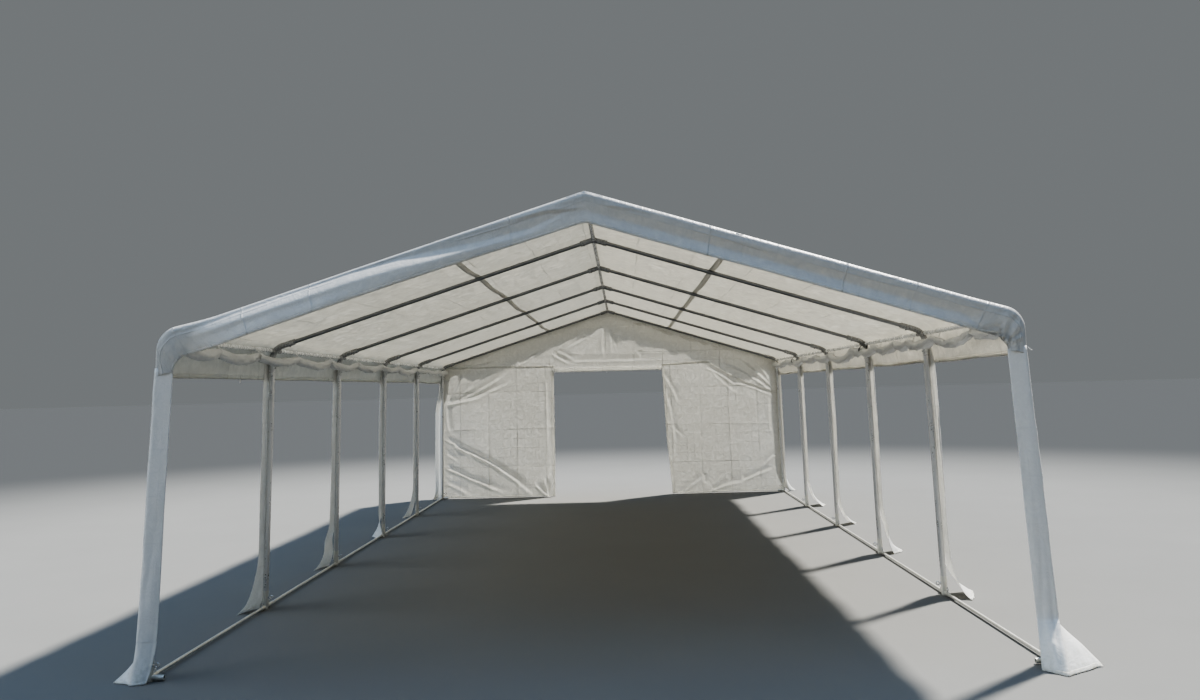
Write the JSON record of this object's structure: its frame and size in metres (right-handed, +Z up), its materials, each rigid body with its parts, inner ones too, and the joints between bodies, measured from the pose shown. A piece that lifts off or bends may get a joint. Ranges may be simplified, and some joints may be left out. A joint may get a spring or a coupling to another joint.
{
  "type": "marquee tent",
  "caption": "Long marquee tent: a white sheet cover on a frame of steel tubes, with open sides, an open front and an end wall with a doorway.",
  "frame": {"origin": "on the ground in the middle of the tent", "axes": "+Y along the ridge towards the end wall, +Z up, +X to the right when looking in at the open front"},
  "size_m": [6.464, 10.0722, 3.2733],
  "materials": {
    "frame_steel": "satin",
    "rail_steel": "satin",
    "ground_steel": "satin",
    "cover_cloth": "satin",
    "wall_cloth": "satin"
  },
  "bodies": {
    "root": {"post_left_1": "frame_steel", "post_left_2": "frame_steel", "post_left_3": "frame_steel", "post_left_4": "frame_steel", "post_left_5": "frame_steel", "post_left_6": "frame_steel", "post_right_1": "frame_steel", "post_right_2": "frame_steel", "post_right_3": "frame_steel", "post_right_4": "frame_steel", "post_right_5": "frame_steel", "post_right_6": "frame_steel", "rafter_left_1": "frame_steel", "rafter_left_2": "frame_steel", "rafter_left_3": "frame_steel", "rafter_left_4": "frame_steel", "rafter_left_5": "frame_steel", "rafter_left_6": "frame_steel", "rafter_right_1": "frame_steel", "rafter_right_2": "frame_steel", "rafter_right_3": "frame_steel", "rafter_right_4": "frame_steel", "rafter_right_5": "frame_steel", "rafter_right_6": "frame_steel", "ridge_rail": "rail_steel", "eave_rail_left": "rail_steel", "eave_rail_right": "rail_steel", "ground_rail_left": "ground_steel", "ground_rail_right": "ground_steel", "roof_left": "cover_cloth", "roof_right": "cover_cloth", "gable_valance_front": "cover_cloth", "gable_valance_back": "cover_cloth", "leg_cover_left_1": "cover_cloth", "leg_cover_left_2": "cover_cloth", "leg_cover_left_3": "cover_cloth", "leg_cover_left_4": "cover_cloth", "leg_cover_left_5": "cover_cloth", "leg_cover_left_6": "cover_cloth", "leg_cover_right_1": "cover_cloth", "leg_cover_right_2": "cover_cloth", "leg_cover_right_3": "cover_cloth", "leg_cover_right_4": "cover_cloth", "leg_cover_right_5": "cover_cloth", "leg_cover_right_6": "cover_cloth", "back_wall_top": "wall_cloth", "back_wall_left": "wall_cloth", "back_wall_right": "wall_cloth", "rolled_wall_left": "wall_cloth", "rolled_wall_right": "wall_cloth"}
  },
  "joints": []
}
